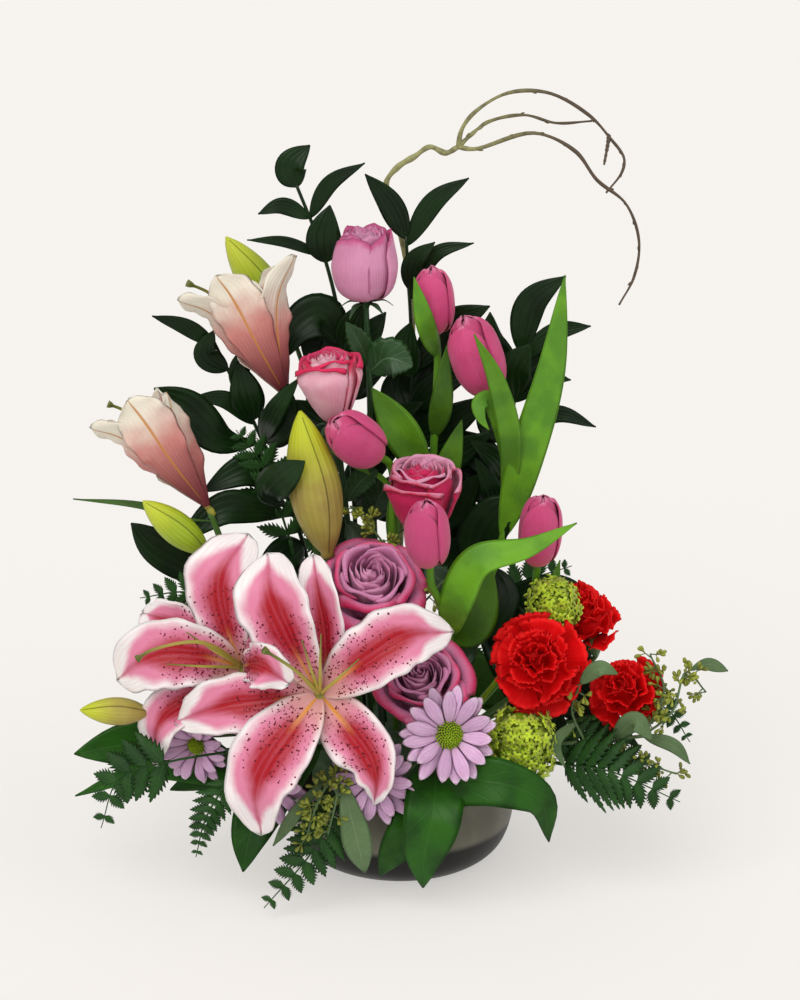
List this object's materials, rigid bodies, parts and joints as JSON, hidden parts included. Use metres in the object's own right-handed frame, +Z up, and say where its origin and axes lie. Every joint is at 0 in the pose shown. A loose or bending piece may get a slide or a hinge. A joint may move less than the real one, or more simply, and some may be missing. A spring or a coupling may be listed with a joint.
{
  "type": "flower bowl arrangement",
  "caption": "Mixed cut flowers and greens with an arching curly willow twig, fanned up and forward from floral foam in a low round dark bowl; stands on a flat foot as a centrepiece",
  "frame": {"origin": "centre of the bowl's flat foot, on the surface it stands on", "axes": "+Z up, the side that faces the viewer is -Y, +X to the viewer's right; millimetre source, metre row"},
  "size_m": [0.4568, 0.284, 0.5457],
  "materials": {
    "bowl": "satin black glaze",
    "foam": "wet green floral foam",
    "rose_green": "green stem, sepals and toothed leaves",
    "rose_petal": "velvety lavender pink with hot pink edges",
    "tulip_green": "smooth light green stem and blades",
    "tulip_petal": "satin pink",
    "carnation_green": "grey green stem",
    "carnation_petal": "matt ruffled red",
    "lily_green": "green stems, yellow green buds",
    "lily_petal": "white edges, pink band, dark spots",
    "daisy_green": "green stems",
    "daisy_petal": "pale lavender with a lime centre",
    "viburnum_floret": "lime green florets",
    "ruscus_leaf": "glossy dark green",
    "eucalyptus_leaf": "grey green leaves and seeds",
    "fern_leaf": "semi-gloss dark green",
    "collar_leaf": "waxy green",
    "willow_bark": "yellow green to dark brown bark"
  },
  "bodies": {
    "root": {"bowl": "bowl", "foam": "foam", "rose_1": "rose_petal", "rose_stem_1": "rose_green", "tulip_1": "tulip_petal", "tulip_stem_1": "tulip_green", "daisy_1": "daisy_petal", "rose_2": "rose_petal", "rose_stem_2": "rose_green", "tulip_2": "tulip_petal", "tulip_stem_2": "tulip_green", "daisy_2": "daisy_petal", "rose_3": "rose_petal", "rose_stem_3": "rose_green", "tulip_3": "tulip_petal", "tulip_stem_3": "tulip_green", "daisy_3": "daisy_petal", "rose_4": "rose_petal", "rose_stem_4": "rose_green", "tulip_4": "tulip_petal", "tulip_stem_4": "tulip_green", "daisy_4": "daisy_petal", "rose_5": "rose_petal", "rose_stem_5": "rose_green", "tulip_5": "tulip_petal", "tulip_stem_5": "tulip_green", "daisy_5": "daisy_petal", "carnation_1": "carnation_petal", "carnation_stem_1": "carnation_green", "carnation_2": "carnation_petal", "carnation_stem_2": "carnation_green", "carnation_3": "carnation_petal", "carnation_stem_3": "carnation_green", "lily_1": "lily_petal", "lily_2": "lily_petal", "lily_3": "lily_petal", "lily_4": "lily_petal", "lily_stem_front": "lily_green", "lily_stem_left": "lily_green", "lily_stem_back": "lily_green", "daisy_spray_front": "daisy_green", "daisy_spray_left": "daisy_green", "viburnum_1": "viburnum_floret", "viburnum_2": "viburnum_floret", "ruscus_top_left": "ruscus_leaf", "ruscus_top": "ruscus_leaf", "ruscus_right": "ruscus_leaf", "ruscus_left": "ruscus_leaf", "eucalyptus_right": "eucalyptus_leaf", "eucalyptus_front": "eucalyptus_leaf", "eucalyptus_middle": "eucalyptus_leaf", "fern_left": "fern_leaf", "fern_front": "fern_leaf", "fern_right": "fern_leaf", "fern_upper": "fern_leaf", "fern_back": "fern_leaf", "collar_front": "collar_leaf", "collar_left": "collar_leaf", "collar_back": "collar_leaf", "willow": "willow_bark"}
  },
  "joints": []
}
